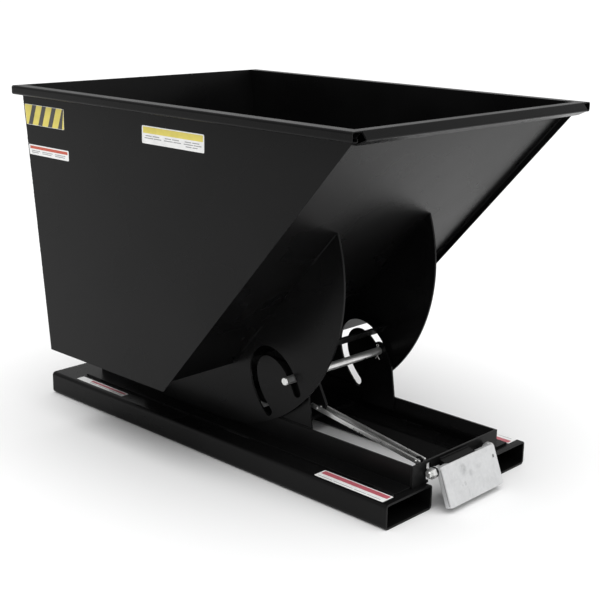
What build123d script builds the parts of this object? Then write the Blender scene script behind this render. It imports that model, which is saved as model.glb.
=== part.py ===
"""Self-dumping steel hopper for a forklift: a sheet bin on two rocker plates over a fork-pocket base.

X points forward to the pouring lip, Y to the left and Z up, in millimetres. The origin is on the floor,
on the centre plane, midway between the rear end of the fork tubes and the nose of the bumper.
"""
from build123d import *
import os
from math import acos, atan2, cos, degrees, hypot, radians, sin, tan

os.makedirs("parts", exist_ok=True)
SIDES = (("left", 1), ("right", -1))

# ---- Base: fork tubes and rails ----
tube_length = 1537.0
tube_width = 203.2
tube_height = 76.2
tube_wall = 6.4
tube_corner = 12.0
tube_spacing = 464.8            # between the two tube centres
plate = 6.4                     # rails, ears, rockers and small plates
rail_leg_y = 203.2              # outer face of the upright leg
rail_flange = 65.8              # flange beyond the leg's outer face
rail_top_z = 144.0
rail_rear_inset = 114.0         # rails start this far in from the tubes' rear ends
rail_front_inset = 22.4         # and stop this far short of their front ends
front_arch = (260.0, 28.0)      # width of the arch, height of the strip above it
front_arch_corner = 22.6
front_window = (20.0, 53.0)     # opening that the release crank passes through
front_window_y = -131.0
front_window_top = 7.0          # strip left above the window
cross_inset = 13.0              # rear cross angle, from the rails' rear ends
cross_leg = 76.0
mid_cross_x = 875.0             # from the rear end
mid_cross = (170.0, 9.5)

# ---- Bin: side walls, floor, rims and lip ----
bin_width = 1000.0
sheet = 3.4
bin_bottom_z = 253.2            # lower edge of the side walls
bin_top_z = 1104.4
wall_rear_bottom = 239.8        # side wall corners, from the rear end
wall_rear_top = 138.7
wall_front_bottom = 806.2
slope_angle = 48.75
floor_recess = 19.0             # floor and slope sit this far inside the side wall edges
bend_radius = 10.0
seam_gap = 0.03                 # floor sheet to rear wall, under the weld
rim_width = 37.0
rim_height = 28.0
rim_sheet = 2.7
rim_bend = 7.0
rim_return = 22.0
rim_curl = 9.0
rim_curl_bend = 4.0
hem_height = 25.0
lip_nose = (17.5, -22.4)        # from the side walls' top front corner
lip_heel = (-16.5, -38.4)
lip_flange = 1.0                # the lip's flat top ends this far behind the corner
lip_bend = 4.4

# ---- Rolling gear ----
rocker_radius = 505.0
rocker_contact = 752.6          # where the arc meets the track at rest, from the rear end
rocker_flat_rear = 380.0        # rear end of the level part of the rocker's edge
rocker_rear_rise = 330.0        # its rear edge meets the floor here
rocker_side_gap = 3.2           # rocker to rail leg
track_gap = 0.3                 # rocker to track
rod_diameter = 25.4
rod_from_rear = 1060.5
rod_z = 288.0
rod_overhang = 33.2             # rod past each rocker's outer face
rod_chamfer = 2.0
slot_clearance = 2.6
slot_start = -6.3               # tip angles at the slot's two ends
slot_end = 77.0
slot_steps = 10
ear_round = 29.0
ear_meets = (150.0, 45.0)       # where its sides meet the round end, degrees from forward
ear_lap = 44.0                  # ear overlap inside the rail leg
ear_foot = (-64.5, 68.5)        # rear and front of the foot, from the rod
ear_shoulder = (53.5, -42.0)    # front shoulder, from the rod
cotter_diameter = 5.0
cotter_length = 56.0
cotter_gap = 4.9                # cotter pin to ear
tie_offset = (1.2, 72.7)        # tie bar centre from the rod
tie_bar = (32.0, 6.4)
axis_disc = (30.0, 0.5)         # radius and thickness of the disc that marks the roll centre
part_gap = 0.3                  # between faces of bodies that pass each other
running_gap = 0.08              # radial clearance of a turning fit

# ---- Latch, release link and bumper ----
latch_y = -133.0
latch_plate = 9.5
latch_boss = 24.0
latch_boss_meet = 35.0          # where the front edge meets the boss, degrees from forward
latch_heel = 36.0               # rear of the plate at the arm, behind the rod
latch_arm_z = (180.0, 204.0)
latch_nose_x = (803.0, 820.0)
latch_nose_z = 215.5
latch_toe = (70.5, -81.0)       # front corner of the latch plate, from the rod
lug_x = (757.0, 797.0)
lug_bottom_z = 221.0
spring_wire = 5.0
spring_bore_gap = 1.7           # between the rod and the coils
spring_pitch = 6.0
spring_turns = 6
link_rear_pin = (44.5, -97.0)   # from the rod
link_front_pin = (1487.0, 135.3)
link_pin_diameter = 8.0
link_bar = (13.0, 6.4)
link_bar_corner = 4.3
link_spread = 25.0              # between the two bars' centres
link_rear_tail = 28.0
link_front_tail = 13.0
pin_end = 3.0                   # pin past each bar
pin_chamfer = 0.8
toggle_slot = (28.0, 18.0)      # lost-motion slot for the rear pin in the latch
hinge_x = 3.5                   # bumper hinge in front of the tube ends
hinge_z = 113.0
bolt_diameter = 19.0
bolt_hole = 19.6
nut_across = 28.6
nut_thickness = 16.0
head_thickness = 12.0
stud_tip = 9.0
bolt_chamfer = 1.9
bumper_width = 255.6
bumper_height = 121.8
bumper_sheet = 4.8
bumper_depth = 20.0
bumper_corner = 9.0
bumper_bend = 3.0
bumper_tilt = 21.3              # the face leans out at the bottom
bumper_ear = 15.5
face_above_hinge = 11.9         # top of the bumper's face, measured along the face
face_before_hinge = 27.5        # face in front of the hinge
drain_hole = (110.0, -22.0)     # across and up the face from the hinge
drain_size = (11.0, 7.5)
sleeve_radius = 15.0
sleeve_span = (-84.0, 53.0)
sleeve_notch = (3.0, 9.6)       # notch in the bumper's top: gap each side of the sleeve, depth
sleeve_gusset = (21.0, 17.0)    # its top above the hinge, where it meets the round, degrees from upright
crank_drop = (-18.0, 2.0)       # band in which the crank passes the front plate, from the hinge
crank_back = -36.0
crank_eye = 10.5

# ---- Places that follow from the sizes above ----
hang = bumper_height - face_above_hinge
bumper_reach = (hinge_x + bumper_bend + (face_before_hinge - bumper_bend) * cos(radians(bumper_tilt))
                + (hang - bumper_bend) * sin(radians(bumper_tilt)))
overall_length = tube_length + bumper_reach
rear_x = -overall_length / 2
tube_end_x = rear_x + tube_length
rail_rear_x = rear_x + rail_rear_inset
rail_front_x = tube_end_x - rail_front_inset
track_z = tube_height + plate
wall_y = bin_width / 2
inside_y = wall_y - sheet
slope_run = (bin_top_z - bin_bottom_z) / tan(radians(slope_angle))
floor_z = bin_bottom_z + floor_recess
roll_x = rear_x + rocker_contact
roll_z = track_z + track_gap + rocker_radius
rocker_inner_y = rail_leg_y + rocker_side_gap
rod_x = rear_x + rod_from_rear
slot_width = rod_diameter + 2 * slot_clearance
hinge = (tube_end_x + hinge_x, hinge_z)
front_pin = (rear_x + link_front_pin[0], link_front_pin[1])
rear_pin = (rod_x + link_rear_pin[0], rod_z + link_rear_pin[1])
link_length = hypot(front_pin[0] - rear_pin[0], front_pin[1] - rear_pin[1])
link_angle = degrees(atan2(rear_pin[1] - front_pin[1], rear_pin[0] - front_pin[0]))
slope_out = Vector(sin(radians(slope_angle)), -cos(radians(slope_angle)))
wall_corners = [
    Vector(rear_x + wall_rear_bottom, bin_bottom_z),
    Vector(rear_x + wall_front_bottom, bin_bottom_z),
    Vector(rear_x + wall_front_bottom + slope_run, bin_top_z),
    Vector(rear_x + wall_rear_top, bin_top_z),
]
top_corner = wall_corners[2]


def side_view(y):
    """Upright plane at y for outlines drawn in X and Z; a positive extrude goes towards -Y."""
    return Plane.XZ.offset(-y)


def slope_x(z, inset):
    """X of the line that lies the given distance inside the side walls' sloping edge, at height z."""
    edge = wall_corners[1].X + (z - bin_bottom_z) / tan(radians(slope_angle))
    return edge - inset / sin(radians(slope_angle))


def slot_point(tip):
    """Where the fixed rod lies in the rocker's own frame once the bin has rolled forward by tip."""
    rod = Vector(rod_x - roll_x - rocker_radius * radians(tip), rod_z - roll_z)
    return Vector(roll_x, roll_z) + rod.rotate(Axis.Z, tip)


def slot_heading(tip):
    """Direction of the rod's path in the rocker at this tip."""
    return (slot_point(tip + 1) - slot_point(tip - 1)).normalized()


def slot_edge(tip, reach):
    """Point on the slot's edge, to the left of the rod's path for a positive reach."""
    return slot_point(tip) + slot_heading(tip).rotate(Axis.Z, 90) * reach


# ---- Fork tubes: two rectangular tubes that the forks slide into, open at both ends ----
for side, hand in SIDES:
    with BuildPart() as fork_tube:
        with BuildSketch(Plane.YZ.offset(rear_x)):
            with Locations((hand * tube_spacing / 2, tube_height / 2)):
                RectangleRounded(tube_width, tube_height, tube_corner)
                RectangleRounded(tube_width - 2 * tube_wall, tube_height - 2 * tube_wall,
                                 tube_corner - tube_wall, mode=Mode.SUBTRACT)
        extrude(amount=tube_length)
    fork_tube.part.label = f"fork_tube_{side}"
    export_step(fork_tube.part, f"parts/fork_tube_{side}.step")

# ---- Side rails: angles on the tubes, the flange is the track and the leg guides the rocker ----
for side, hand in SIDES:
    with BuildPart() as side_rail:
        with BuildSketch(Plane.YZ.offset(rail_rear_x)):
            with BuildLine():
                Polyline((hand * (rail_leg_y - plate), tube_height),
                         (hand * (rail_leg_y + rail_flange), tube_height),
                         (hand * (rail_leg_y + rail_flange), track_z),
                         (hand * rail_leg_y, track_z),
                         (hand * rail_leg_y, rail_top_z),
                         (hand * (rail_leg_y - plate), rail_top_z), close=True)
            make_face()
        extrude(amount=rail_front_x - rail_rear_x)
    side_rail.part.label = f"side_rail_{side}"
    export_step(side_rail.part, f"parts/side_rail_{side}.step")

# ---- Front plate: closes the rails, arched over the middle, with a window for the release crank ----
front_plate_height = rail_top_z - tube_height
with BuildPart() as front_plate:
    with BuildSketch(Plane.YZ.offset(rail_front_x)):
        with Locations((0, tube_height + front_plate_height / 2)):
            Rectangle(2 * rail_leg_y, front_plate_height)
        with Locations((0, rail_top_z - front_arch[1] - front_plate_height)):
            RectangleRounded(front_arch[0], 2 * front_plate_height, front_arch_corner,
                             mode=Mode.SUBTRACT)
        with Locations((front_window_y, rail_top_z - front_window_top - front_window[1] / 2)):
            RectangleRounded(front_window[0], front_window[1], plate, mode=Mode.SUBTRACT)
    extrude(amount=plate)
front_plate.part.label = "front_plate"
export_step(front_plate.part, "parts/front_plate.step")

# ---- Cross members: an angle between the rails at the rear and a flat bar under the bin ----
rail_inner_y = rail_leg_y - plate
with BuildPart() as rear_cross_member:
    with BuildSketch(side_view(rail_inner_y)):
        with BuildLine():
            cross_rear = rail_rear_x + cross_inset
            Polyline((cross_rear, tube_height), (cross_rear + cross_leg, tube_height),
                     (cross_rear + cross_leg, track_z), (cross_rear + plate, track_z),
                     (cross_rear + plate, rail_top_z), (cross_rear, rail_top_z), close=True)
        make_face()
    extrude(amount=2 * rail_inner_y)
rear_cross_member.part.label = "rear_cross_member"
export_step(rear_cross_member.part, "parts/rear_cross_member.step")

with BuildPart() as mid_cross_member:
    with BuildSketch(Plane.XY.offset(tube_height)):
        with Locations((rear_x + mid_cross_x, 0)):
            Rectangle(mid_cross[0], 2 * rail_inner_y)
    extrude(amount=mid_cross[1])
mid_cross_member.part.label = "mid_cross_member"
export_step(mid_cross_member.part, "parts/mid_cross_member.step")

# ---- Rod ears: plates welded inside the rail legs that carry the pivot rod ----
for side, hand in SIDES:
    ear_low_y = min(hand * rail_inner_y, hand * (rail_inner_y - plate))
    with BuildPart() as rod_ear:
        with BuildSketch(side_view(ear_low_y + plate)):
            with BuildLine():
                foot_z = rail_top_z - ear_lap
                rear_meet, front_meet = [Vector(rod_x, rod_z) + Vector(ear_round, 0).rotate(Axis.Z, turn)
                                         for turn in ear_meets]
                Polyline(rear_meet,
                         (rod_x + ear_foot[0], rail_top_z),
                         (rod_x + ear_foot[0], foot_z),
                         (rod_x + ear_foot[1], foot_z),
                         (rod_x + ear_foot[1], rail_top_z),
                         (rod_x + ear_shoulder[0], rod_z + ear_shoulder[1]),
                         front_meet, close=True)
            make_face()
            with Locations((rod_x, rod_z)):
                Circle(ear_round)
                Circle(rod_diameter / 2, mode=Mode.SUBTRACT)
        extrude(amount=plate)
    rod_ear.part.label = f"rod_ear_{side}"
    export_step(rod_ear.part, f"parts/rod_ear_{side}.step")

# ---- Pivot rod: plated bar through both ears and both rocker slots, held by cotter pins ----
rod_half = rocker_inner_y + plate + rod_overhang
cotter_y = rail_inner_y - plate - cotter_gap - cotter_diameter / 2
with BuildPart() as pivot_rod:
    with BuildSketch(side_view(rod_half)):
        with Locations((rod_x, rod_z)):
            Circle(rod_diameter / 2)
    extrude(amount=2 * rod_half)
    chamfer(pivot_rod.edges().filter_by(GeomType.CIRCLE), length=rod_chamfer)
    with Locations((rod_x, cotter_y, rod_z), (rod_x, -cotter_y, rod_z)):
        Cylinder(cotter_diameter / 2, cotter_length, mode=Mode.SUBTRACT)
pivot_rod.part.label = "pivot_rod"
export_step(pivot_rod.part, "parts/pivot_rod.step")

with BuildPart() as cotter_pins:
    with Locations((rod_x, cotter_y, rod_z), (rod_x, -cotter_y, rod_z)):
        Cylinder(cotter_diameter / 2, cotter_length)
cotter_pins.part.label = "cotter_pins"
export_step(cotter_pins.part, "parts/cotter_pins.step")

# ---- Latch spring: coils round the rod beside the latch, each turn a closed ring ----
first_turn_y = latch_y - latch_plate / 2 - spring_pitch
with BuildPart() as latch_spring:
    for turn in range(spring_turns):
        ring_centre = (rod_x, first_turn_y - turn * spring_pitch, rod_z)
        with Locations(Plane(ring_centre, x_dir=(1, 0, 0), z_dir=(0, 1, 0))):
            Torus(rod_diameter / 2 + spring_bore_gap + spring_wire / 2, spring_wire / 2)
latch_spring.part.label = "latch_spring"
export_step(latch_spring.part, "parts/latch_spring.step")

# ---- Bumper hinge sleeve: bored bar on the front plate that the bumper's bolt turns in ----
with BuildPart() as hinge_sleeve:
    with BuildSketch(side_view(sleeve_span[1])):
        with BuildLine():
            plate_face = rail_front_x + plate
            Polyline((plate_face, rail_top_z - front_arch[1]),
                     (plate_face, hinge_z + sleeve_gusset[0]),
                     (hinge[0] + sleeve_radius * sin(radians(sleeve_gusset[1])),
                      hinge_z + sleeve_radius * cos(radians(sleeve_gusset[1]))),
                     (hinge[0], hinge_z), close=True)
        make_face()
        with Locations(hinge):
            Circle(sleeve_radius)
            Circle(bolt_diameter / 2 + running_gap, mode=Mode.SUBTRACT)
    extrude(amount=sleeve_span[1] - sleeve_span[0])
hinge_sleeve.part.label = "hinge_sleeve"
export_step(hinge_sleeve.part, "parts/hinge_sleeve.step")

# ---- Bin side walls: flat sheets whose edges stand proud of the floor and slope ----
for side, hand in SIDES:
    with BuildPart() as side_wall:
        with BuildSketch(side_view(max(hand * wall_y, hand * inside_y))):
            with BuildLine():
                Polyline(*wall_corners, close=True)
            make_face()
        extrude(amount=sheet)
    side_wall.part.label = f"side_wall_{side}"
    export_step(side_wall.part, f"parts/side_wall_{side}.step")

# ---- Floor and slope: one sheet bent where the floor turns up to the pouring lip ----
rear_inner = wall_corners[0] + Vector(sheet + seam_gap, 0)
slope_top_z = bin_top_z - sheet - sheet * cos(radians(slope_angle))
with BuildPart() as floor_and_slope:
    with BuildSketch(side_view(inside_y)):
        with BuildLine():
            FilletPolyline((rear_inner.X, floor_z),
                           (slope_x(floor_z, floor_recess), floor_z),
                           (slope_x(slope_top_z, floor_recess), slope_top_z), radius=bend_radius)
            offset(amount=sheet, side=Side.LEFT)
        make_face()
    extrude(amount=2 * inside_y)
floor_and_slope.part.label = "floor_and_slope"
export_step(floor_and_slope.part, "parts/floor_and_slope.step")

# ---- Rear wall: sheet between the side walls with its top edge hemmed outwards ----
rear_lean = (wall_rear_bottom - wall_rear_top) / (bin_top_z - bin_bottom_z)
hem_foot = wall_corners[3] + Vector(rear_lean * hem_height, -hem_height)
with BuildPart() as rear_wall:
    with BuildSketch(side_view(inside_y)):
        with BuildLine():
            Polyline(wall_corners[0], wall_corners[0] + Vector(sheet, 0),
                     wall_corners[3] + Vector(sheet, 0), wall_corners[3] - Vector(sheet, 0),
                     hem_foot - Vector(sheet, 0), hem_foot, close=True)
        make_face()
    extrude(amount=2 * inside_y)
rear_wall.part.label = "rear_wall"
export_step(rear_wall.part, "parts/rear_wall.step")

# ---- Side rims: the walls' stiffened top edges, bent outwards, down and back in ----
rim_rear_x = wall_corners[3].X - sheet
for side, hand in SIDES:
    with BuildPart() as side_rim:
        with BuildSketch(Plane.YZ.offset(rim_rear_x)):
            with BuildLine():
                outer_y = wall_y + rim_width
                FilletPolyline((hand * wall_y, bin_top_z),
                               (hand * outer_y, bin_top_z),
                               (hand * outer_y, bin_top_z - rim_height),
                               (hand * (outer_y - rim_return), bin_top_z - rim_height),
                               (hand * (outer_y - rim_return), bin_top_z - rim_height + rim_curl),
                               radius=[rim_bend, rim_bend, rim_curl_bend])
                offset(amount=rim_sheet, side=Side.LEFT if hand > 0 else Side.RIGHT)
            make_face()
        extrude(amount=top_corner.X - rim_rear_x)
    side_rim.part.label = f"side_rim_{side}"
    export_step(side_rim.part, f"parts/side_rim_{side}.step")

# ---- Front lip: folded pouring edge along the top of the slope, over the ends of the side walls ----
heel = top_corner + Vector(*lip_heel)
with BuildPart() as front_lip:
    with BuildSketch(side_view(wall_y)):
        with BuildLine():
            FilletPolyline((slope_x(bin_top_z, floor_recess) - sheet, bin_top_z),
                           top_corner - Vector(lip_flange, 0), top_corner + Vector(*lip_nose), heel,
                           (slope_x(heel.Y + sheet, floor_recess), heel.Y), radius=lip_bend)
            offset(amount=sheet, side=Side.RIGHT)
        make_face()
    extrude(amount=2 * wall_y)
    for wall_top_y in (wall_y, -inside_y):
        with BuildSketch(side_view(wall_top_y)):
            with BuildLine():
                Polyline(*wall_corners, close=True)
            make_face()
        extrude(amount=sheet, mode=Mode.SUBTRACT)
front_lip.part.label = "front_lip"
export_step(front_lip.part, "parts/front_lip.step")

# ---- Rockers: curved plates that roll on the tracks, with the horseshoe slot round the rod ----
slope_gap = (Vector(slope_x(floor_z, floor_recess), floor_z) - Vector(roll_x, roll_z)).dot(slope_out)
arc_end = slope_angle + degrees(acos(slope_gap / rocker_radius))
slot_tips = [slot_start + (slot_end - slot_start) * k / slot_steps for k in range(slot_steps + 1)]
slot_half = slot_width / 2
for side, hand in SIDES:
    rocker_low_y = min(hand * rocker_inner_y, hand * (rocker_inner_y + plate))
    with BuildPart() as rocker:
        with BuildSketch(side_view(rocker_low_y + plate)):
            with BuildLine():
                arc = CenterArc((roll_x, roll_z), rocker_radius, -90, arc_end)
                Polyline(arc @ 1, (slope_x(floor_z, floor_recess), floor_z),
                         (rear_x + rocker_rear_rise, floor_z),
                         (rear_x + rocker_flat_rear, track_z + track_gap), arc @ 0)
            make_face()
            with BuildLine():
                outer_edge = Spline(*[slot_edge(tip, -slot_half) for tip in slot_tips])
                inner_edge = Spline(*[slot_edge(tip, slot_half) for tip in slot_tips])
                first_end = slot_point(slot_start) - slot_heading(slot_start) * slot_half
                last_end = slot_point(slot_end) + slot_heading(slot_end) * slot_half
                ThreePointArc(outer_edge @ 0, first_end, inner_edge @ 0)
                ThreePointArc(outer_edge @ 1, last_end, inner_edge @ 1)
            make_face(mode=Mode.SUBTRACT)
        extrude(amount=plate)
    rocker.part.label = f"rocker_{side}"
    export_step(rocker.part, f"parts/rocker_{side}.step")

# ---- Tie bar: flat bar between the rockers that meets the rod at the end of the travel ----
tie_at = Vector(rod_x + tie_offset[0], rod_z + tie_offset[1])
tie_turn = degrees(atan2(tie_at.Y - roll_z, tie_at.X - roll_x)) + 90
with BuildPart() as rocker_tie_bar:
    with BuildSketch(side_view(rocker_inner_y)):
        with Locations(Location((tie_at.X, tie_at.Y, 0), (0, 0, tie_turn))):
            Rectangle(tie_bar[0], tie_bar[1])
    extrude(amount=2 * rocker_inner_y)
rocker_tie_bar.part.label = "rocker_tie_bar"
export_step(rocker_tie_bar.part, "parts/rocker_tie_bar.step")

# ---- Catch lug: plate under the floor that the latch nose holds ----
with BuildPart() as catch_lug:
    with BuildSketch(side_view(latch_y + latch_plate / 2)):
        with BuildLine():
            Polyline((rear_x + lug_x[0], floor_z), (rear_x + lug_x[0] + latch_plate, lug_bottom_z),
                     (rear_x + lug_x[1], lug_bottom_z), (rear_x + lug_x[1], floor_z), close=True)
        make_face()
    extrude(amount=latch_plate)
catch_lug.part.label = "catch_lug"
export_step(catch_lug.part, "parts/catch_lug.step")

# ---- Roll axis disc: thin round plate on the roll centre, it marks the axis the bin rolls about ----
with BuildPart() as roll_axis_disc:
    with BuildSketch(side_view(wall_y + part_gap + axis_disc[1])):
        with Locations((roll_x, roll_z)):
            Circle(axis_disc[0])
    extrude(amount=axis_disc[1])
roll_axis_disc.part.label = "roll_axis_disc"
export_step(roll_axis_disc.part, "parts/roll_axis_disc.step")

# ---- Latch: plate on the rod with an arm that reaches back to the catch lug ----
nose_rear = rear_x + latch_nose_x[0]
nose_front = rear_x + latch_nose_x[1]
with BuildPart() as latch:
    with BuildSketch(side_view(latch_y + latch_plate / 2)):
        with BuildLine():
            boss_meet = Vector(rod_x, rod_z) + Vector(latch_boss, 0).rotate(Axis.Z, latch_boss_meet)
            Polyline((rod_x - latch_boss, rod_z), (rod_x - latch_heel, latch_arm_z[1]),
                     (nose_front, latch_arm_z[1]), (nose_front, latch_nose_z),
                     (nose_rear, latch_nose_z), (nose_rear, latch_arm_z[0]),
                     (rear_pin[0] + toggle_slot[0] / 2, rear_pin[1] - toggle_slot[1]),
                     (rod_x + latch_toe[0], rod_z + latch_toe[1]),
                     boss_meet, close=True)
        make_face()
        with Locations((rod_x, rod_z)):
            Circle(latch_boss)
            Circle(rod_diameter / 2 + running_gap, mode=Mode.SUBTRACT)
        with Locations(rear_pin):
            SlotOverall(toggle_slot[0], toggle_slot[1], mode=Mode.SUBTRACT)
    extrude(amount=latch_plate)
latch.part.label = "latch"
export_step(latch.part, "parts/latch.step")

# ---- Release link: two flat bars with a pin at each end ----
for side, hand in SIDES:
    bar_y = latch_y + hand * link_spread / 2
    with BuildPart() as link_bar_part:
        with BuildSketch(side_view(bar_y + link_bar[1] / 2)):
            with Locations(Location((front_pin[0], front_pin[1], 0), (0, 0, link_angle))):
                with Locations(((link_length + link_rear_tail - link_front_tail) / 2, 0)):
                    RectangleRounded(link_length + link_rear_tail + link_front_tail, link_bar[0],
                                     link_bar_corner)
            with Locations(front_pin, rear_pin):
                Circle(link_pin_diameter / 2, mode=Mode.SUBTRACT)
        extrude(amount=link_bar[1])
    link_bar_part.part.label = f"link_bar_{side}"
    export_step(link_bar_part.part, f"parts/link_bar_{side}.step")

pin_half = link_spread / 2 + link_bar[1] / 2 + pin_end
for pin_name, pin_at in (("link_front_pin", front_pin), ("link_rear_pin", rear_pin)):
    with BuildPart() as link_pin:
        with BuildSketch(side_view(latch_y + pin_half)):
            with Locations(pin_at):
                Circle(link_pin_diameter / 2)
        extrude(amount=2 * pin_half)
        chamfer(link_pin.edges().filter_by(GeomType.CIRCLE), length=pin_chamfer)
    link_pin.part.label = pin_name
    export_step(link_pin.part, f"parts/{pin_name}.step")

# ---- Bumper: galvanised tray hung on the hinge bolt, leaning out at the bottom ----
face_normal = Vector(cos(radians(bumper_tilt)), 0, sin(radians(bumper_tilt)))
hinge_point = (hinge[0], 0, hinge[1])
bumper_face = Plane(origin=hinge_point, x_dir=(0, 1, 0), z_dir=face_normal)
half_width = bumper_width / 2


def bumper_side(y):
    """Plane across the hinge at y, drawn forwards and upwards in the tray's own lean."""
    return Plane(origin=(hinge[0], y, hinge[1]), x_dir=face_normal, z_dir=(0, -1, 0))


with BuildPart() as bumper_tray:
    with BuildSketch(bumper_face.offset(face_before_hinge - bumper_depth)):
        with Locations((0, face_above_hinge - bumper_height / 2)):
            RectangleRounded(bumper_width, bumper_height, bumper_corner)
    extrude(amount=bumper_depth)
    front_face = bumper_tray.faces().sort_by(Axis(hinge_point, face_normal))[-1]
    fillet(front_face.edges(), radius=bumper_bend)
    with BuildSketch(bumper_face.offset(face_before_hinge - bumper_depth)):
        with Locations((0, face_above_hinge - bumper_height / 2)):
            RectangleRounded(bumper_width - 2 * bumper_sheet, bumper_height - 2 * bumper_sheet,
                             bumper_corner - bumper_sheet)
    extrude(amount=bumper_depth - bumper_sheet, mode=Mode.SUBTRACT)
    with BuildSketch(bumper_face.offset(face_before_hinge - bumper_depth)):
        with Locations((sum(sleeve_span) / 2, face_above_hinge)):
            Rectangle(sleeve_span[1] - sleeve_span[0] + 2 * sleeve_notch[0], 2 * sleeve_notch[1])
    extrude(amount=bumper_depth - bumper_sheet, mode=Mode.SUBTRACT)
    with BuildSketch(bumper_face.offset(face_before_hinge - bumper_depth)):
        with Locations(drain_hole):
            SlotOverall(drain_size[0], drain_size[1], rotation=90)
    extrude(amount=bumper_depth, mode=Mode.SUBTRACT)
    for ear_y in (half_width, bumper_sheet - half_width):
        with BuildSketch(bumper_side(ear_y)):
            Circle(bumper_ear)
            with Locations(((face_before_hinge - bumper_bend) / 2, (face_above_hinge - bumper_ear) / 2)):
                Rectangle(face_before_hinge - bumper_bend, face_above_hinge + bumper_ear - bumper_bend)
        extrude(amount=bumper_sheet)
    with BuildSketch(bumper_side(half_width)):
        Circle(bolt_hole / 2)
    extrude(amount=2 * half_width, mode=Mode.SUBTRACT)
bumper_tray.part.label = "bumper_tray"
export_step(bumper_tray.part, "parts/bumper_tray.step")

# ---- Bumper crank: cranked plate on the bolt, under the front plate's strip and up to the link ----
crank_y = -half_width
crank_low = hinge_z + crank_drop[0]
with BuildPart() as bumper_crank:
    with BuildSketch(side_view(crank_y)):
        with Locations(hinge):
            Circle(bumper_ear)
        with Locations(front_pin):
            Circle(crank_eye)
        with BuildLine():
            Polyline((hinge[0], hinge_z + crank_drop[1]),
                     (hinge[0] + crank_back, hinge_z + crank_drop[1]),
                     (front_pin[0] + crank_eye, front_pin[1]),
                     (front_pin[0] - crank_eye, front_pin[1]),
                     (front_pin[0] - crank_eye, crank_low + crank_eye),
                     (front_pin[0], crank_low), (hinge[0], crank_low + bumper_bend), close=True)
        make_face()
        with Locations(hinge):
            Circle(bolt_hole / 2, mode=Mode.SUBTRACT)
        with Locations(front_pin):
            Circle(link_pin_diameter / 2 + running_gap, mode=Mode.SUBTRACT)
    extrude(amount=plate)
bumper_crank.part.label = "bumper_crank"
export_step(bumper_crank.part, "parts/bumper_crank.step")

# ---- Hinge bolt and nut: the bolt turns in the sleeve, its nut clamps the crank to the tray ----
nut_y = crank_y - plate
with BuildPart() as hinge_bolt:
    with BuildSketch(side_view(half_width + head_thickness)):
        with Locations(hinge):
            RegularPolygon(nut_across / 2, 6, major_radius=False)
    extrude(amount=head_thickness)
    with BuildSketch(side_view(half_width)):
        with Locations(hinge):
            Circle(bolt_diameter / 2)
    extrude(amount=half_width - nut_y + nut_thickness + stud_tip)
    chamfer(hinge_bolt.edges().filter_by(GeomType.CIRCLE).sort_by(Axis.Y)[0], length=bolt_chamfer)
hinge_bolt.part.label = "hinge_bolt"
export_step(hinge_bolt.part, "parts/hinge_bolt.step")

with BuildPart() as hinge_nut:
    with BuildSketch(side_view(nut_y)):
        with Locations(hinge):
            RegularPolygon(nut_across / 2, 6, major_radius=False)
            Circle(bolt_diameter / 2 + running_gap, mode=Mode.SUBTRACT)
    extrude(amount=nut_thickness)
hinge_nut.part.label = "hinge_nut"
export_step(hinge_nut.part, "parts/hinge_nut.step")
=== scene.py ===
"""A self-dumping steel hopper for a forklift: its looks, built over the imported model, in metres."""
from math import cos, pi, radians, sin, tan

import bmesh
import bpy
from mathutils import Matrix, Vector


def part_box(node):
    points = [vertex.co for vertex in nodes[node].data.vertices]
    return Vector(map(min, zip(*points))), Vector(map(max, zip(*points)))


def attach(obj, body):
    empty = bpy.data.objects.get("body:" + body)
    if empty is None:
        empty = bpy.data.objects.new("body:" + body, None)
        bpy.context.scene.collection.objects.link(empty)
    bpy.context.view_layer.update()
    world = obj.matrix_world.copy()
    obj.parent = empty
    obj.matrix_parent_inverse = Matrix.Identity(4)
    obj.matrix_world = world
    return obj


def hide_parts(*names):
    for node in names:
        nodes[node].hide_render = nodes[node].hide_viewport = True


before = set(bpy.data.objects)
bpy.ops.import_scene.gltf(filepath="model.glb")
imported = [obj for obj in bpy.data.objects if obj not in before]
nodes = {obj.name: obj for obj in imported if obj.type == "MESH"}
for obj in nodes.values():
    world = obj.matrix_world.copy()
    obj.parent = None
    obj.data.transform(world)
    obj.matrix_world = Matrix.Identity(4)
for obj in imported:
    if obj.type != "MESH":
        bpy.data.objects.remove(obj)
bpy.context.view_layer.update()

# ---- Powder-coated steel plate and tube ----
# Everything but the bumper, rod, pins and link is mild steel with a semi-gloss black powder coat, baked on
# after welding: a fine orange-peel skin, lightened along sheared and folded edges by a painted highlight.
BLACK_NODES = [
    "fork_tube_left", "fork_tube_right", "side_rail_left", "side_rail_right", "front_plate",
    "rear_cross_member", "mid_cross_member", "rod_ear_left", "rod_ear_right", "hinge_sleeve",
    "side_wall_left", "side_wall_right", "floor_and_slope", "rear_wall", "side_rim_left", "side_rim_right",
    "front_lip", "rocker_left", "rocker_right", "rocker_tie_bar", "catch_lug", "roll_axis_disc",
]


def add_node(tree, kind, **settings):
    made = tree.nodes.new(kind)
    for key, value in settings.items():
        setattr(made, key, value)
    return made


def new_group(name, inputs, outputs):
    tree = bpy.data.node_groups.new(name, "ShaderNodeTree")
    for label, value in inputs:
        made = tree.interface.new_socket(label, in_out="INPUT", socket_type="NodeSocketFloat")
        made.default_value = value
    for label, kind in outputs:
        tree.interface.new_socket(label, in_out="OUTPUT", socket_type=kind)
    return tree, tree.nodes.new("NodeGroupInput"), tree.nodes.new("NodeGroupOutput")
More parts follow.
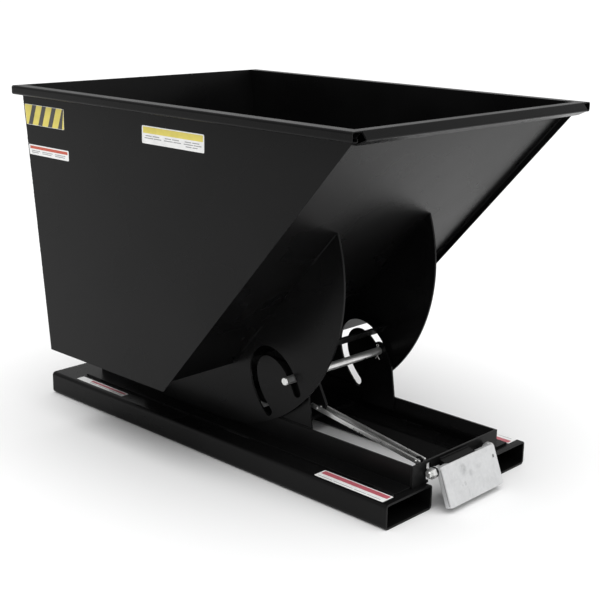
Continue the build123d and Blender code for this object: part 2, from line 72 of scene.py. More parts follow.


# Sharp edges read as slightly rounded, and the same comparison of normals gives the edge mask that the
# materials use for a painted edge highlight.
edge_catch, edge_in, edge_out = new_group(
    "edge_catch", [("Radius", 0.001)], [("Edge", "NodeSocketFloat"), ("Normal", "NodeSocketVector")])
rounded = add_node(edge_catch, "ShaderNodeBevel", samples=4)
flat = add_node(edge_catch, "ShaderNodeNewGeometry")
agree = add_node(edge_catch, "ShaderNodeVectorMath", operation="DOT_PRODUCT")
edge_highlight_mask = add_node(edge_catch, "ShaderNodeMapRange")
edge_highlight_mask.inputs["From Min"].default_value = 0.99
edge_highlight_mask.inputs["From Max"].default_value = 0.80
edge_catch.links.new(edge_in.outputs["Radius"], rounded.inputs["Radius"])
edge_catch.links.new(rounded.outputs["Normal"], agree.inputs[0])
edge_catch.links.new(flat.outputs["Normal"], agree.inputs[1])
edge_catch.links.new(agree.outputs["Value"], edge_highlight_mask.inputs["Value"])
edge_catch.links.new(edge_highlight_mask.outputs["Result"], edge_out.inputs["Edge"])
edge_catch.links.new(rounded.outputs["Normal"], edge_out.inputs["Normal"])

# Fine grain for the bump, and large soft patches for the tone and gloss.
surface_grain, grain_in, grain_out = new_group(
    "surface_grain", [("Grain scale", 900.0), ("Patch scale", 4.0)],
    [("Grain", "NodeSocketFloat"), ("Patch", "NodeSocketFloat")])
place = add_node(surface_grain, "ShaderNodeTexCoord")
for label, detail in (("Grain", 2.0), ("Patch", 3.0)):
    noise = add_node(surface_grain, "ShaderNodeTexNoise")
    noise.inputs["Detail"].default_value = detail
    contrast = add_node(surface_grain, "ShaderNodeMapRange")
    contrast.inputs["From Min"].default_value = 0.3
    contrast.inputs["From Max"].default_value = 0.7
    surface_grain.links.new(place.outputs["Object"], noise.inputs["Vector"])
    surface_grain.links.new(grain_in.outputs[f"{label} scale"], noise.inputs["Scale"])
    surface_grain.links.new(noise.outputs["Fac"], contrast.inputs["Value"])
    surface_grain.links.new(contrast.outputs["Result"], grain_out.inputs[label])


def mix_colours(tree, factor, first, second):
    """A colour mix; each of the two is a colour or an output socket. Returns its result socket."""
    made = add_node(tree, "ShaderNodeMix", data_type="RGBA")
    tree.links.new(factor, made.inputs[0])
    for socket, colour in ((made.inputs[6], first), (made.inputs[7], second)):
        if isinstance(colour, bpy.types.NodeSocket):
            tree.links.new(colour, socket)
        else:
            socket.default_value = (*colour, 1.0)
    return made.outputs[2]


def spread(tree, value, low, high):
    """Runs a 0 to 1 mask from low to high."""
    made = add_node(tree, "ShaderNodeMapRange")
    made.inputs["To Min"].default_value = low
    made.inputs["To Max"].default_value = high
    tree.links.new(value, made.inputs["Value"])
    return made.outputs["Result"]


def start_material(name, edge_radius, grain_scale, patch_scale, grain_depth):
    """A material with its edges, grain and bump in place; its colour and roughness come after."""
    made = bpy.data.materials.new(name)
    made.use_nodes = True
    tree = made.node_tree
    shader = tree.nodes["Principled BSDF"]
    edge = add_node(tree, "ShaderNodeGroup", node_tree=edge_catch)
    edge.inputs["Radius"].default_value = edge_radius
    grain = add_node(tree, "ShaderNodeGroup", node_tree=surface_grain)
    grain.inputs["Grain scale"].default_value = grain_scale
    grain.inputs["Patch scale"].default_value = patch_scale
    bump = add_node(tree, "ShaderNodeBump")
    bump.inputs["Distance"].default_value = grain_depth
    tree.links.new(grain.outputs["Grain"], bump.inputs["Height"])
    tree.links.new(edge.outputs["Normal"], bump.inputs["Normal"])
    tree.links.new(bump.outputs["Normal"], shader.inputs["Normal"])
    return made, tree, shader, edge, grain


powder_black, tree, shader, edge, grain = start_material("powder_black", 0.0012, 700.0, 3.5, 0.00004)
coat_and_highlight = mix_colours(tree, grain.outputs["Patch"], (0.0030, 0.0030, 0.0031), (0.0052, 0.0052, 0.0053))
# The edges are lightened in colour: a painted highlight.
coat_and_highlight = mix_colours(tree, spread(tree, edge.outputs["Edge"], 0.0, 0.6), coat_and_highlight, (0.030, 0.030, 0.031))
tree.links.new(coat_and_highlight, shader.inputs["Base Color"])
tree.links.new(spread(tree, grain.outputs["Patch"], 0.24, 0.33), shader.inputs["Roughness"])
shader.inputs["Specular IOR Level"].default_value = 0.11


def finish_nodes(names, material):
    for name in names:
        mesh = nodes[name].data
        mesh.materials.clear()
        mesh.materials.append(material)


finish_nodes(BLACK_NODES, powder_black)

# ---- Welds on the base ----
# The rails, ears, cross members and hinge sleeve are MIG welded to the tubes and to one another in short
# stitches: overlapping ripples of weld metal under the same black coat.
BEAD_TREE = bpy.data.node_groups.new("weld_bead", "GeometryNodeTree")
BEAD_TREE.interface.new_socket("Path", in_out="INPUT", socket_type="NodeSocketGeometry")
for label, kind, value in (
        ("Bead radius", "NodeSocketFloat", 0.003), ("Ripple pitch", "NodeSocketFloat", 0.003),
        ("Unevenness", "NodeSocketFloat", 0.15), ("Seed", "NodeSocketInt", 1)):
    made = BEAD_TREE.interface.new_socket(label, in_out="INPUT", socket_type=kind)
    made.default_value = value
BEAD_TREE.interface.new_socket("Metal", in_out="INPUT", socket_type="NodeSocketMaterial")
BEAD_TREE.interface.new_socket("Bead", in_out="OUTPUT", socket_type="NodeSocketGeometry")
bead_in = BEAD_TREE.nodes.new("NodeGroupInput")
bead_out = BEAD_TREE.nodes.new("NodeGroupOutput")
run = add_node(BEAD_TREE, "GeometryNodeMeshToCurve")
step = add_node(BEAD_TREE, "GeometryNodeResampleCurve", mode="LENGTH")
along = add_node(BEAD_TREE, "GeometryNodeInputTangent")
turn = add_node(BEAD_TREE, "FunctionNodeAlignRotationToVector", axis="Z")
drop = add_node(BEAD_TREE, "GeometryNodeMeshUVSphere")
drop.inputs["Segments"].default_value = 8
drop.inputs["Rings"].default_value = 5
drop.inputs["Radius"].default_value = 1.0
uneven_low = add_node(BEAD_TREE, "ShaderNodeMath", operation="SUBTRACT")
uneven_low.inputs[0].default_value = 1.0
uneven_high = add_node(BEAD_TREE, "ShaderNodeMath", operation="ADD")
uneven_high.inputs[0].default_value = 1.0
chance = add_node(BEAD_TREE, "FunctionNodeRandomValue", data_type="FLOAT")
across = add_node(BEAD_TREE, "ShaderNodeMath", operation="MULTIPLY")
shape = add_node(BEAD_TREE, "ShaderNodeCombineXYZ")
scatter = add_node(BEAD_TREE, "GeometryNodeInstanceOnPoints")
solid = add_node(BEAD_TREE, "GeometryNodeRealizeInstances")
soft = add_node(BEAD_TREE, "GeometryNodeSetShadeSmooth")
metal = add_node(BEAD_TREE, "GeometryNodeSetMaterial")
BEAD_TREE.links.new(bead_in.outputs["Path"], run.inputs["Mesh"])
BEAD_TREE.links.new(run.outputs["Curve"], step.inputs["Curve"])
BEAD_TREE.links.new(bead_in.outputs["Ripple pitch"], step.inputs["Length"])
BEAD_TREE.links.new(along.outputs["Tangent"], turn.inputs["Vector"])
BEAD_TREE.links.new(bead_in.outputs["Unevenness"], uneven_low.inputs[1])
BEAD_TREE.links.new(bead_in.outputs["Unevenness"], uneven_high.inputs[1])
chance_sockets = {socket.identifier: socket for socket in chance.inputs}
BEAD_TREE.links.new(uneven_low.outputs[0], chance_sockets["Min_001"])
BEAD_TREE.links.new(uneven_high.outputs[0], chance_sockets["Max_001"])
BEAD_TREE.links.new(bead_in.outputs["Seed"], chance_sockets["Seed"])
BEAD_TREE.links.new(bead_in.outputs["Bead radius"], across.inputs[0])
BEAD_TREE.links.new(chance.outputs[1], across.inputs[1])
BEAD_TREE.links.new(across.outputs[0], shape.inputs["X"])
BEAD_TREE.links.new(across.outputs[0], shape.inputs["Y"])
BEAD_TREE.links.new(bead_in.outputs["Ripple pitch"], shape.inputs["Z"])
BEAD_TREE.links.new(step.outputs["Curve"], scatter.inputs["Points"])
BEAD_TREE.links.new(drop.outputs["Mesh"], scatter.inputs["Instance"])
BEAD_TREE.links.new(turn.outputs["Rotation"], scatter.inputs["Rotation"])
BEAD_TREE.links.new(shape.outputs["Vector"], scatter.inputs["Scale"])
BEAD_TREE.links.new(scatter.outputs["Instances"], solid.inputs["Geometry"])
BEAD_TREE.links.new(solid.outputs["Geometry"], soft.inputs["Geometry"])
BEAD_TREE.links.new(soft.outputs["Geometry"], metal.inputs["Geometry"])
BEAD_TREE.links.new(bead_in.outputs["Metal"], metal.inputs["Material"])
BEAD_TREE.links.new(metal.outputs["Geometry"], bead_out.inputs["Bead"])


def weld(name, body, runs, radius, pitch, seed):
    """Weld beads along straight or bent runs of points, made into one plain mesh."""
    mesh = bpy.data.meshes.new(name)
    points = [point for stretch in runs for point in stretch]
    links, start = [], 0
    for stretch in runs:
        links += [(start + k, start + k + 1) for k in range(len(stretch) - 1)]
        start += len(stretch)
    mesh.from_pydata(points, links, [])
    piece = bpy.data.objects.new(name, mesh)
    bpy.context.scene.collection.objects.link(piece)
    maker = piece.modifiers.new("bead", "NODES")
    maker.node_group = BEAD_TREE
    given = {"Bead radius": radius, "Ripple pitch": pitch, "Seed": seed, "Metal": powder_black}
    for item in BEAD_TREE.interface.items_tree:
        if item.name in given:
            maker[item.identifier] = given[item.name]
    ready = piece.evaluated_get(bpy.context.evaluated_depsgraph_get())
    baked = bpy.data.meshes.new_from_object(ready)
    piece.modifiers.clear()
    piece.data = baked
    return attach(piece, body)


MM = 0.001
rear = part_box("fork_tube_left")[0].x
rail_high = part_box("side_rail_left")[1]
tube_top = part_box("fork_tube_left")[1].z
leg_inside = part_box("rod_ear_left")[1].y
ear_low, ear_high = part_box("rod_ear_left")
sleeve_low, sleeve_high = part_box("hinge_sleeve")
plate_low, plate_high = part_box("front_plate")
cross_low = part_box("rear_cross_member")[0]
strap_low, strap_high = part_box("mid_cross_member")
plate_half = plate_high.y
base_runs = []
# Stitches along the tubes are given by how far from the tubes' rear ends they start and stop.
for hand in (1, -1):
    for from_rear, to_front in ((0.128, 0.196), (0.838, 0.932), (1.440, 1.508)):
        base_runs.append([(rear + from_rear, hand * rail_high.y, tube_top + MM),
                          (rear + to_front, hand * rail_high.y, tube_top + MM)])
    for from_rear, to_front in ((0.25, 0.33), (0.60, 0.68), (1.16, 1.24)):
        base_runs.append([(rear + from_rear, hand * leg_inside, tube_top + MM),
                          (rear + to_front, hand * leg_inside, tube_top + MM)])
    base_runs.append([(ear_low.x + 8 * MM, hand * leg_inside, rail_high.z + MM),
                      (ear_high.x - 4 * MM, hand * leg_inside, rail_high.z + MM)])
    base_runs.append([(plate_low.x + MM, hand * (plate_half - 2 * MM), plate_low.z + 10 * MM),
                      (plate_low.x + MM, hand * (plate_half - 2 * MM), plate_high.z - 5 * MM)])
    base_runs.append([(cross_low.x, hand * leg_inside, tube_top + 4 * MM),
                      (cross_low.x, hand * leg_inside, rail_high.z - 4 * MM)])
    for end_x in (strap_low.x, strap_high.x):
        base_runs.append([(end_x, hand * leg_inside, tube_top + 2 * MM),
                          (end_x, hand * (leg_inside - 0.045), tube_top + 2 * MM)])
for end_z in (sleeve_low.z + MM, sleeve_high.z):
    base_runs.append([(plate_high.x + MM, sleeve_low.y + 4 * MM, end_z),
                      (plate_high.x + MM, sleeve_high.y - 4 * MM, end_z)])
weld("base_welds", "base", base_runs, 0.0034, 0.0030, 11)

# ---- Pivot rod and its split pins ----
# The rod is cold-drawn bar, bright zinc plated, pushed through both ears; a split pin of the same plated
# wire goes through it inside each ear, with its eye up and its legs spread below.
zinc_plate, tree, shader, edge, grain = start_material("zinc_plate", 0.0006, 1400.0, 22.0, 0.00001)
plating_and_highlight = mix_colours(tree, grain.outputs["Patch"], (0.70, 0.70, 0.685), (0.84, 0.845, 0.84))
# Lighter colour along the edges is a painted highlight.
plating_and_highlight = mix_colours(tree, spread(tree, edge.outputs["Edge"], 0.0, 0.7), plating_and_highlight, (0.85, 0.85, 0.84))
tree.links.new(plating_and_highlight, shader.inputs["Base Color"])
tree.links.new(spread(tree, grain.outputs["Patch"], 0.26, 0.40), shader.inputs["Roughness"])
shader.inputs["Metallic"].default_value = 0.86
finish_nodes(["pivot_rod"], zinc_plate)


def wire(name, points, radius, material):
    """A round wire along the points, as a closed mesh."""
    curve = bpy.data.curves.new(name, "CURVE")
    curve.dimensions = "3D"
    curve.bevel_depth = radius
    curve.bevel_resolution = 3
    curve.use_fill_caps = True
    spline = curve.splines.new("POLY")
    spline.points.add(len(points) - 1)
    for point, spot in zip(spline.points, points):
        point.co = (*spot, 1.0)
    maker = bpy.data.objects.new(name, curve)
    bpy.context.scene.collection.objects.link(maker)
    mesh = bpy.data.meshes.new_from_object(maker.evaluated_get(bpy.context.evaluated_depsgraph_get()))
    bpy.data.objects.remove(maker)
    mesh.shade_smooth()
    mesh.materials.clear()
    mesh.materials.append(material)
    piece = bpy.data.objects.new(name, mesh)
    bpy.context.scene.collection.objects.link(piece)
    return piece


rod_low, rod_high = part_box("pivot_rod")
rod_x = (rod_low.x + rod_high.x) / 2
rod_z = (rod_low.z + rod_high.z) / 2
pin_low, pin_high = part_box("cotter_pins")
leg_radius = 0.0012
eye_radius = 0.0042
for side, pin_y in (("left", pin_high.y - 0.0025), ("right", pin_low.y + 0.0025)):
    neck_z = pin_high.z - 2 * eye_radius
    legs = [(leg_radius + 0.009, pin_low.z + 0.002), (leg_radius + 0.001, pin_low.z + 0.010),
            (leg_radius, pin_low.z + 0.013)]
    outline = [Vector((rod_x + x, pin_y, z)) for x, z in legs]
    for k in range(13):
        angle = radians(-70 + 320 * k / 12)
        outline.append(Vector((rod_x + eye_radius * cos(angle), pin_y, neck_z + eye_radius * sin(angle))))
    outline += [Vector((rod_x - x * 0.7, pin_y, z)) for x, z in reversed(legs)]
    pin = wire(f"split_pin_{side}", outline, leg_radius, zinc_plate)
    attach(pin, "base")
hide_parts("cotter_pins")

# ---- Latch spring ----
# A torsion spring of oiled spring-steel wire wound round the rod beside the latch: close coils with one
# tail on the latch and the other against the cross strap. It keeps the latch nose up.
spring_steel, tree, shader, edge, grain = start_material("spring_steel", 0.0004, 1600.0, 60.0, 0.00002)
oiled = mix_colours(tree, grain.outputs["Patch"], (0.10, 0.10, 0.105), (0.22, 0.22, 0.225))
tree.links.new(oiled, shader.inputs["Base Color"])
tree.links.new(spread(tree, grain.outputs["Patch"], 0.30, 0.46), shader.inputs["Roughness"])
shader.inputs["Metallic"].default_value = 0.85
coil_low, coil_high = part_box("latch_spring")
wire_radius = 0.0024
coil_radius = (coil_high.z - coil_low.z) / 2 - wire_radius
coil_turns = 6.5
coil_steps = 156
coil = []
for k in range(coil_steps + 1):
    angle = 2 * pi * coil_turns * k / coil_steps
    y = coil_high.y - wire_radius - (coil_high.y - coil_low.y - 2 * wire_radius) * k / coil_steps
    coil.append(Vector((rod_x + coil_radius * cos(angle), y, rod_z + coil_radius * sin(angle))))
first_tail = coil[0] + Vector((0.0, 0.0, -0.030))
last_tail = coil[-1] + Vector((0.0, 0.0, -0.038))
spring = wire("spring_coil", [first_tail, *coil, last_tail], wire_radius, spring_steel)
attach(spring, "base")
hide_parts("latch_spring")

# ---- Welds on the bin ----
# The bin is sheet steel: floor and slope, rear wall, lip and rockers are joined outside by seams along the
# folded-back edges, and by short stitches where the rocker plates stand against the slope and floor.
wall_low, wall_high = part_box("side_wall_right")
rocker_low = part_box("rocker_right")[0]
floor_low, floor_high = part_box("floor_and_slope")
tie_low, tie_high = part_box("rocker_tie_bar")
lug_low, lug_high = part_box("catch_lug")
rear_low, rear_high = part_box("rear_wall")
rocker_out = -rocker_low.y
seam_y = floor_high.y
floor_z = floor_low.z
slope_angle = radians(48.75)
slope_rise = tan(slope_angle)
# The slope's underside starts where it would meet the floor's, less what the bend's radius takes off.
floor_length, bend_radius = 0.8062, 0.019
lower_bend_x = rear + floor_length - bend_radius * tan(slope_angle / 2)


def under_slope(z, y):
    """The point on the slope's underside at height z."""
    return Vector((lower_bend_x + (z - floor_z) / slope_rise, y, z))


bin_runs = []
for hand in (1, -1):
    beside_rocker = hand * (rocker_out + MM)
    for foot_z, head_z in ((0.324, 0.424), (0.658, 0.757)):
        bin_runs.append([under_slope(foot_z, beside_rocker), under_slope(head_z, beside_rocker)])
    for from_rear, to_front in ((0.36, 0.44), (0.60, 0.68)):
        bin_runs.append([Vector((rear + from_rear, beside_rocker, floor_z - MM)),
                         Vector((rear + to_front, beside_rocker, floor_z - MM))])
    bin_runs.append([Vector((tie_low.x + 6 * MM, hand * tie_high.y, tie_low.z + 2 * MM)),
                     Vector((tie_high.x - 2 * MM, hand * tie_high.y, tie_high.z - 6 * MM))])
    bin_runs.append([Vector((rear_high.x + 4 * MM, hand * seam_y, floor_z - MM)),
                     Vector((lower_bend_x - 6 * MM, hand * seam_y, floor_z - MM)),
                     under_slope(floor_z + 6 * MM, hand * seam_y),
                     under_slope(wall_high.z - 0.045, hand * seam_y)])
    bin_runs.append([Vector((rear_high.x - 3.4 * MM, hand * seam_y, rear_low.z + 4 * MM)),
                     Vector((wall_low.x, hand * seam_y, wall_high.z - 0.030))])
for face_y in (lug_low.y, lug_high.y):
    bin_runs.append([Vector((lug_low.x + 4 * MM, face_y, floor_z - MM)),
                     Vector((lug_high.x - 4 * MM, face_y, floor_z - MM))])
weld("bin_welds", "hopper", bin_runs, 0.0030, 0.0036, 23)

# ---- Release link ----
# Two flat bars, sheared and zinc plated, with a plated pin through each end. They pull on the latch, a
# black coated plate on the rod whose nose holds the lug under the floor.
finish_nodes(["link_bar_left", "link_bar_right", "link_front_pin", "link_rear_pin"], zinc_plate)
finish_nodes(["latch"], powder_black)

# ---- Bumper, crank, bolt and nut ----
# The bumper is a folded tray, hot-dip galvanised: matt light grey with faint spangle, handling smudges and a
# drip left by draining. The bolt and nut are zinc plated; the crank is black like the base.
galvanised, tree, shader, edge, grain = start_material("galvanised", 0.0015, 420.0, 26.0, 0.00003)
object_place = add_node(tree, "ShaderNodeTexCoord")
spangle = add_node(tree, "ShaderNodeTexVoronoi")
spangle.inputs["Scale"].default_value = 90.0
spangle_tone = add_node(tree, "ShaderNodeSeparateColor")
tree.links.new(object_place.outputs["Object"], spangle.inputs["Vector"])
tree.links.new(spangle.outputs["Color"], spangle_tone.inputs["Color"])
mottle = add_node(tree, "ShaderNodeTexNoise")
mottle.inputs["Scale"].default_value = 90.0
mottle.inputs["Detail"].default_value = 5.0
tree.links.new(object_place.outputs["Object"], mottle.inputs["Vector"])
mottle_mask = add_node(tree, "ShaderNodeMapRange")
mottle_mask.inputs["From Min"].default_value = 0.30
mottle_mask.inputs["From Max"].default_value = 0.62
tree.links.new(mottle.outputs["Fac"], mottle_mask.inputs["Value"])

bolt_low, bolt_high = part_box("hinge_bolt")
tray_low, tray_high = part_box("bumper_tray")
hinge_point = Vector(((bolt_low.x + bolt_high.x) / 2, 0.0, (bolt_low.z + bolt_high.z) / 2))
face_lean = radians(21.3)
face_out = Vector((cos(face_lean), 0.0, sin(face_lean)))
face_up = Vector((-sin(face_lean), 0.0, cos(face_lean)))


def on_face(y, rise, depth=0.0275):
    """A point on the bumper's face: y across, rise up the face from the hinge, depth in front of it."""
    return hinge_point + Vector((0.0, y, 0.0)) + face_up * rise + face_out * depth


# Smudges and the drip: place across and up the face, half width, half height, strength.
MARKS = ((-0.038, -0.021, 0.019, 0.022, 0.55), (-0.008, -0.038, 0.012, 0.013, 0.40),
         (-0.042, -0.060, 0.006, 0.008, 0.65), (-0.055, -0.062, 0.004, 0.004, 0.45),
         (-0.034, -0.089, 0.0022, 0.017, 0.50), (0.030, -0.030, 0.022, 0.010, 0.22))
smudges = None
for y, rise, half_wide, half_high, strength in MARKS:
    spot = add_node(tree, "ShaderNodeMapping", vector_type="TEXTURE")
    spot.inputs["Location"].default_value = on_face(y, rise)
    spot.inputs["Rotation"].default_value = (0.0, -face_lean, 0.0)
    spot.inputs["Scale"].default_value = (0.05, half_wide, half_high)
    reach = add_node(tree, "ShaderNodeVectorMath", operation="LENGTH")
    fade = add_node(tree, "ShaderNodeMapRange")
    fade.inputs["From Min"].default_value = 1.0
    fade.inputs["From Max"].default_value = 0.45
    fade.inputs["To Max"].default_value = strength
    patchy = add_node(tree, "ShaderNodeMath", operation="MULTIPLY")
    tree.links.new(object_place.outputs["Object"], spot.inputs["Vector"])
    tree.links.new(spot.outputs["Vector"], reach.inputs[0])
    tree.links.new(reach.outputs["Value"], fade.inputs["Value"])
    tree.links.new(fade.outputs["Result"], patchy.inputs[0])
    tree.links.new(mottle_mask.outputs["Result"], patchy.inputs[1])
    if smudges is None:
        smudges = patchy.outputs[0]
    else:
        most = add_node(tree, "ShaderNodeMath", operation="MAXIMUM")
        tree.links.new(smudges, most.inputs[0])
        tree.links.new(patchy.outputs[0], most.inputs[1])
        smudges = most.outputs[0]
zinc_skin_and_highlight = mix_colours(tree, grain.outputs["Patch"], (0.60, 0.605, 0.61), (0.67, 0.675, 0.68))
bright_spangle = spread(tree, spangle_tone.outputs["Red"], 0.0, 0.35)
zinc_skin_and_highlight = mix_colours(tree, bright_spangle, zinc_skin_and_highlight, (0.74, 0.745, 0.75))
dull_mottle = spread(tree, mottle_mask.outputs["Result"], 0.22, 0.0)
zinc_skin_and_highlight = mix_colours(tree, dull_mottle, zinc_skin_and_highlight, (0.50, 0.505, 0.51))
zinc_skin_and_highlight = mix_colours(tree, smudges, zinc_skin_and_highlight, (0.30, 0.305, 0.31))
# Lighter colour along the edges is a painted highlight; the spangle, mottle and smudges are the zinc's own.
zinc_skin_and_highlight = mix_colours(tree, spread(tree, edge.outputs["Edge"], 0.0, 0.5), zinc_skin_and_highlight, (0.80, 0.80, 0.80))
tree.links.new(zinc_skin_and_highlight, shader.inputs["Base Color"])
tree.links.new(spread(tree, spangle_tone.outputs["Green"], 0.42, 0.58), shader.inputs["Roughness"])
shader.inputs["Metallic"].default_value = 0.5
finish_nodes(["bumper_tray"], galvanised)
# A thin dark wire on each end is painted shade in the crease where the end flange meets the folded face.
fold_top, fold_foot, fold_depth, fold_radius = 0.003, -0.103, 0.0215, 0.0006
for side, end_y in (("right", tray_low.y - 0.0001), ("left", tray_high.y + 0.0001)):
    fold_line = [on_face(end_y, rise, fold_depth) for rise in (fold_top, fold_foot)]
    fold_shade_line = wire(f"bumper_fold_{side}", fold_line, fold_radius, spring_steel)
    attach(fold_shade_line, "bumper")
finish_nodes(["hinge_bolt", "hinge_nut"], zinc_plate)
finish_nodes(["bumper_crank"], powder_black)

# ---- Stickers ----
# Printed vinyl, squeegeed on after coating: a striped hazard strip and two notices on the right wall, and
# notices on top of the fork tubes. They carry plain bars in place of any words or marks.


def sticker_material(name, ink):
    made, tree, shader, edge, grain = start_material(name, 0.0002, 1800.0, 30.0, 0.000005)
    faded = tuple(value * 0.86 for value in ink)
    tree.links.new(mix_colours(tree, grain.outputs["Patch"], ink, faded), shader.inputs["Base Color"])
    tree.links.new(spread(tree, grain.outputs["Patch"], 0.34, 0.46), shader.inputs["Roughness"])
    return made


vinyl_white = sticker_material("vinyl_white", (0.96, 0.96, 0.95))
vinyl_yellow = sticker_material("vinyl_yellow", (0.83, 0.70, 0.13))
vinyl_grey = sticker_material("vinyl_grey", (0.30, 0.30, 0.31))
vinyl_dark = sticker_material("vinyl_dark", (0.045, 0.045, 0.047))
vinyl_red = sticker_material("vinyl_red", (0.62, 0.10, 0.05))
vinyl_pink = sticker_material("vinyl_pink", (0.55, 0.13, 0.16))
INKS = [vinyl_white, vinyl_yellow, vinyl_grey, vinyl_dark, vinyl_red, vinyl_pink]


SHEET_THICKNESS, PRINT_THICKNESS = 0.00015, 0.00007


def round_corners(outline, radius):
    """The outline with each corner turned into a short arc."""
    points = []
    for k, corner in enumerate(outline):
        corner = Vector(corner)
        before = (Vector(outline[k - 1]) - corner).normalized() * radius
        after = (Vector(outline[(k + 1) % len(outline)]) - corner).normalized() * radius
        for share in (0.0, 0.33, 0.67, 1.0):
            points.append(corner + before * (1 - share) ** 2 + after * share ** 2)
    return points


def sticker(name, body, origin, along, up, outline, prints):
    """A thin printed sheet: its outline and its prints are (X, Y) shapes on the plane of along and up.

    Each print has a layer, 1 on the sheet itself and 2 on top of another print.
    """
    out = along.cross(up)
    mesh = bmesh.new()
    for shape, ink, layer in [(round_corners(outline, 0.004), vinyl_white, 0), *prints]:
        low = [mesh.verts.new(origin + along * p[0] + up * p[1]) for p in shape]
        high = [mesh.verts.new(vert.co + out * (SHEET_THICKNESS + PRINT_THICKNESS * layer)) for vert in low]
        index = INKS.index(ink)
        faces = [mesh.faces.new(high), mesh.faces.new(list(reversed(low)))]
        for k in range(len(low)):
            after = (k + 1) % len(low)
            faces.append(mesh.faces.new((low[k], low[after], high[after], high[k])))
        for face in faces:
            face.material_index = index
    sheet_mesh = bpy.data.meshes.new(name)
    mesh.to_mesh(sheet_mesh)
    mesh.free()
    for ink in INKS:
        sheet_mesh.materials.append(ink)
    piece = bpy.data.objects.new(name, sheet_mesh)
    bpy.context.scene.collection.objects.link(piece)
    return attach(piece, body)


def bar(x0, y0, x1, y1):
    return [(x0, y0), (x1, y0), (x1, y1), (x0, y1)]


NOTICE_WORDS, PANEL_WORDS = 0.0022, 0.0024


def word_bars(x0, x1, y, height, lengths, gap):
    """A row of short grey bars between x0 and x1, each a share of the row, printed on the sheet."""
    bars, at = [], x0
    for share in lengths:
        end = at + (x1 - x0) * share
        bars.append((bar(at, y, end, y + height), vinyl_grey, 1))
        at = end + gap
    return bars


forward, left, upward = Vector((1, 0, 0)), Vector((0, 1, 0)), Vector((0, 0, 1))
wall_face = Vector((rear, wall_low.y, 0.0))
# The side wall's rear edge leans back as it rises: how far from the tubes' rear ends it is, low and high.
wall_edge_foot, wall_edge_head, edge_margin = 0.2398, 0.1387, 0.0015
wall_lean = (wall_edge_foot - wall_edge_head) / (wall_high.z - wall_low.z)


def wall_edge(z):
    """How far from the tubes' rear ends a sticker along the side wall's rear edge starts, at height z."""
    return wall_edge_head + (wall_high.z - z) * wall_lean + edge_margin


hazard_low, hazard_high, hazard_end = 0.983, 1.0465, 0.3543
stripe_start, stripe_step, stripe_width, stripe_slant = 0.166, 0.052, 0.0215, 0.024
print_foot, print_head, print_end = hazard_low + MM, hazard_high - MM, hazard_end - MM
hazard_prints = [([(wall_edge(hazard_low) + MM, print_foot), (print_end, print_foot),
                   (print_end, print_head), (wall_edge(hazard_high) + MM, print_head)], vinyl_yellow, 1)]
for k in range(4):
    foot = stripe_start + k * stripe_step
    foot_end = foot + stripe_width
    hazard_prints.append(([(foot, print_foot), (min(foot_end, print_end), print_foot),
                           (min(foot_end + stripe_slant, print_end), print_head),
                           (foot + stripe_slant, print_head)], vinyl_dark, 2))
sticker("hazard_strip", "hopper", wall_face, forward, upward,
        [(wall_edge(hazard_low), hazard_low), (hazard_end, hazard_low),
         (hazard_end, hazard_high), (wall_edge(hazard_high), hazard_high)], hazard_prints)

notice_low, notice_high, notice_end = 0.889, 0.9208, 0.3734
notice_start = wall_edge(notice_low)
notice_prints = [(bar(notice_start + 0.004, notice_high - 0.013, notice_end - 0.006, notice_high - 0.004),
                  vinyl_red, 1)]
for row_up, lengths, gap in ((0.0115, (0.24, 0.30, 0.30), 0.012), (0.0065, (0.20, 0.26, 0.28), 0.020)):
    notice_prints += word_bars(notice_start + 0.012, notice_end - 0.012, notice_low + row_up, NOTICE_WORDS,
                               lengths, gap)
sticker("wall_notice", "hopper", wall_face, forward, upward,
        [(notice_start, notice_low), (notice_end, notice_low), (notice_end, notice_high),
         (wall_edge(notice_high), notice_high)], notice_prints)

panel_start, panel_end, panel_low, panel_high = 0.729, 0.993, 0.9855, 1.0363
panel_prints = [(bar(panel_start + 0.005, panel_high - 0.021, panel_end - 0.005, panel_high - 0.003),
                 vinyl_yellow, 1)]
column = (panel_end - panel_start - 0.030) / 3
for k in range(3):
    start = panel_start + 0.010 + k * (column + 0.006)
    rows = [(0.006, 0.0215, (0.38, 0.40), 0.004), (0.002, 0.0150, (0.50, 0.42), 0.003)]
    if k == 2:
        rows.append((0.010, 0.0085, (0.36, 0.30), 0.004))
    for row_in, row_up, lengths, gap in rows:
        panel_prints += word_bars(start + row_in, start + column, panel_low + row_up, PANEL_WORDS, lengths, gap)
sticker("wall_panel", "hopper", wall_face, forward, upward,
        bar(panel_start, panel_low, panel_end, panel_high), panel_prints)

tube_face = Vector((rear, 0.0, tube_top))


def tube_notice(name, start, end, low, high, plain):
    """White notice with a red band along its inner half; plain is how much of its rear end has no print."""
    middle = (low + high) / 2
    inner_low, inner_high = (middle, high - 0.004) if high < 0 else (low + 0.004, middle)
    words_y = low + 0.008 if high < 0 else high - 0.010
    prints = [(bar(start + plain, inner_low, end - 0.005, inner_high), vinyl_pink, 1)]
    prints += word_bars(start + plain + 0.004, end - 0.010, words_y, NOTICE_WORDS,
                        (0.22, 0.30, 0.18, 0.20), 0.006)
    sticker(name, "base", tube_face, forward, left, bar(start, low, end, high), prints)


tube_notice("tube_notice_right_rear", 0.117, 0.368, -0.315, -0.2845, 0.060)
tube_notice("tube_notice_right_front", 1.260, 1.516, -0.325, -0.277, 0.006)
tube_notice("tube_notice_left_front", 1.260, 1.516, 0.277, 0.325, 0.006)

# ---- Floor, light and camera ----
# A plain white floor and background, a wide soft light overhead and a weaker one in front.
bpy.ops.mesh.primitive_plane_add(size=40.0, location=(0.0, 0.0, -0.0005))
floor = bpy.context.object
floor.name = "studio_floor"
paper = bpy.data.materials.new("studio_paper")
paper.use_nodes = True
paper.node_tree.nodes["Principled BSDF"].inputs["Base Color"].default_value = (0.88, 0.88, 0.88, 1.0)
paper.node_tree.nodes["Principled BSDF"].inputs["Roughness"].default_value = 0.9
floor.data.materials.append(paper)

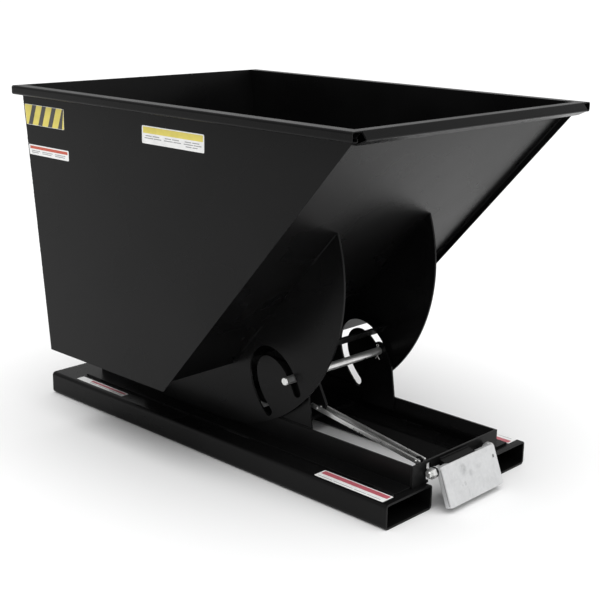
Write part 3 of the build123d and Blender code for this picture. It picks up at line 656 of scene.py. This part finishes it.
world = bpy.data.worlds.new("studio")
world.use_nodes = True
bpy.context.scene.world = world
sky = world.node_tree
surround = sky.nodes["Background"]
surround.inputs["Color"].default_value = (1.0, 1.0, 1.0, 1.0)
surround.inputs["Strength"].default_value = 0.55
backdrop = add_node(sky, "ShaderNodeBackground")
backdrop.inputs["Color"].default_value = (1.0, 1.0, 1.0, 1.0)
backdrop.inputs["Strength"].default_value = 1.1
seen = add_node(sky, "ShaderNodeLightPath")
choose = add_node(sky, "ShaderNodeMixShader")
sky.links.new(seen.outputs["Is Camera Ray"], choose.inputs[0])
sky.links.new(surround.outputs["Background"], choose.inputs[1])
sky.links.new(backdrop.outputs["Background"], choose.inputs[2])
sky.links.new(choose.outputs["Shader"], sky.nodes["World Output"].inputs["Surface"])


ceiling = bpy.data.lights.new("ceiling", "SUN")
ceiling.energy = 2.5
ceiling.angle = radians(70.0)
ceiling_lamp = bpy.data.objects.new("ceiling", ceiling)
bpy.context.scene.collection.objects.link(ceiling_lamp)
ceiling_lamp.rotation_euler = (radians(8.0), radians(10.0), 0.0)
front = bpy.data.lights.new("front_left", "AREA")
front.shape = "SQUARE"
front.size = 2.5
front.energy = 25.0
front_lamp = bpy.data.objects.new("front_left", front)
bpy.context.scene.collection.objects.link(front_lamp)
front_lamp.location = (4.5, 2.5, 2.6)
front_aim = Vector((0.0, 0.0, 0.4))
front_lamp.rotation_euler = (front_aim - front_lamp.location).to_track_quat("-Z", "Y").to_euler()

yaw, pitch, roll = radians(133.373), radians(-15.473), radians(1.014)
gaze = Vector((cos(pitch) * cos(yaw), cos(pitch) * sin(yaw), sin(pitch)))
level = gaze.cross(Vector((0, 0, 1))).normalized()
lift = level.cross(gaze)
side_axis = level * cos(roll) + lift * sin(roll)
top_axis = lift * cos(roll) - level * sin(roll)
lens = bpy.data.cameras.new("camera")
lens.lens = 72.04
lens.sensor_width = 36.0
lens.clip_end = 100.0
camera = bpy.data.objects.new("camera", lens)
bpy.context.scene.collection.objects.link(camera)
camera.matrix_world = Matrix.Translation((2.6053, -2.6688, 1.4745)) @ Matrix(
    (side_axis, top_axis, -gaze)).transposed().to_4x4()
bpy.context.scene.camera = camera
bpy.context.scene.view_settings.view_transform = "Standard"
